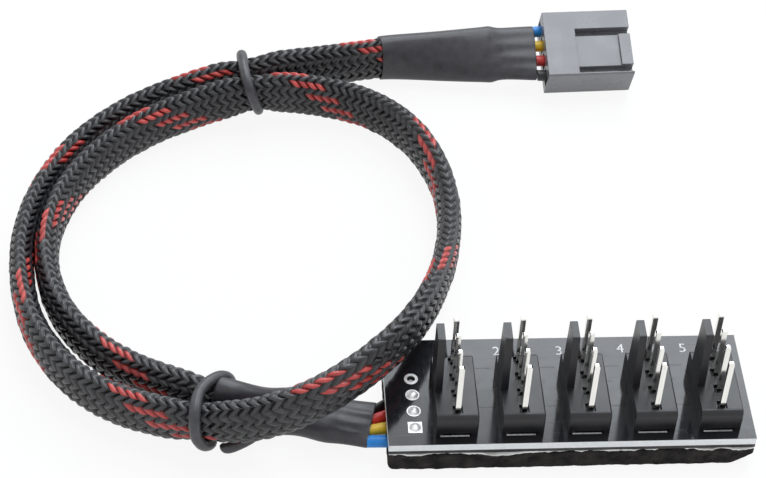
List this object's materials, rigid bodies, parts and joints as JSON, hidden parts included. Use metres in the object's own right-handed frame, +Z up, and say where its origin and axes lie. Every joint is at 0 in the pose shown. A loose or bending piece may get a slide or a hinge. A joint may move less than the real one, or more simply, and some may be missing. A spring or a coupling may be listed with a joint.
{
  "type": "pc fan controller hub",
  "caption": "Small black fan splitter board on a foam foot, with a row of upright four-pin headers and a coiled braided lead that ends in a four-way socket.",
  "frame": {"origin": "centre of the board's outline, on the foam foot's underside", "axes": "+X along the board away from its wire end, +Y towards the back edge behind the headers, +Z up along the pins"},
  "size_m": [0.091, 0.077, 0.0163],
  "materials": {
    "solder_mask": "glossy black solder mask",
    "glue": "matt dark adhesive",
    "film": "white backing film",
    "foam": "matt black cellular foam",
    "header_plastic": "moulded black nylon",
    "pin_plate": "bright tin plate",
    "terminal_plate": "tin plate",
    "solder": "bright solder",
    "wire_black": "satin insulation",
    "wire_red": "satin insulation",
    "wire_yellow": "satin insulation",
    "wire_blue": "satin insulation",
    "braid": "woven yarn, black with red flecks",
    "shrink_tube": "matt shrink tube",
    "tie": "satin coated wire",
    "socket_plastic": "moulded black nylon"
  },
  "bodies": {
    "root": {"backing_film": "film", "board_shrink_tube": "shrink_tube", "board_wire_black": "wire_black", "board_wire_blue": "wire_blue", "board_wire_red": "wire_red", "board_wire_yellow": "wire_yellow", "bottom_tie": "tie", "braided_lead": "braid", "circuit_board": "solder_mask", "foam_foot": "foam", "glue_layer": "glue", "header_1_pin_1": "pin_plate", "header_1_pin_2": "pin_plate", "header_1_pin_3": "pin_plate", "header_1_pin_4": "pin_plate", "header_2_pin_1": "pin_plate", "header_2_pin_2": "pin_plate", "header_2_pin_3": "pin_plate", "header_2_pin_4": "pin_plate", "header_3_pin_1": "pin_plate", "header_3_pin_2": "pin_plate", "header_3_pin_3": "pin_plate", "header_3_pin_4": "pin_plate", "header_4_pin_1": "pin_plate", "header_4_pin_2": "pin_plate", "header_4_pin_3": "pin_plate", "header_4_pin_4": "pin_plate", "header_5_pin_1": "pin_plate", "header_5_pin_2": "pin_plate", "header_5_pin_3": "pin_plate", "header_5_pin_4": "pin_plate", "header_housing_1": "header_plastic", "header_housing_2": "header_plastic", "header_housing_3": "header_plastic", "header_housing_4": "header_plastic", "header_housing_5": "header_plastic", "pin_solder": "solder", "socket_housing": "socket_plastic", "socket_shrink_tube": "shrink_tube", "socket_wire_black": "wire_black", "socket_wire_blue": "wire_blue", "socket_wire_red": "wire_red", "socket_wire_yellow": "wire_yellow", "terminal_black": "terminal_plate", "terminal_blue": "terminal_plate", "terminal_red": "terminal_plate", "terminal_yellow": "terminal_plate", "top_tie": "tie", "wire_pads": "solder", "wire_solder": "solder"}
  },
  "joints": []
}
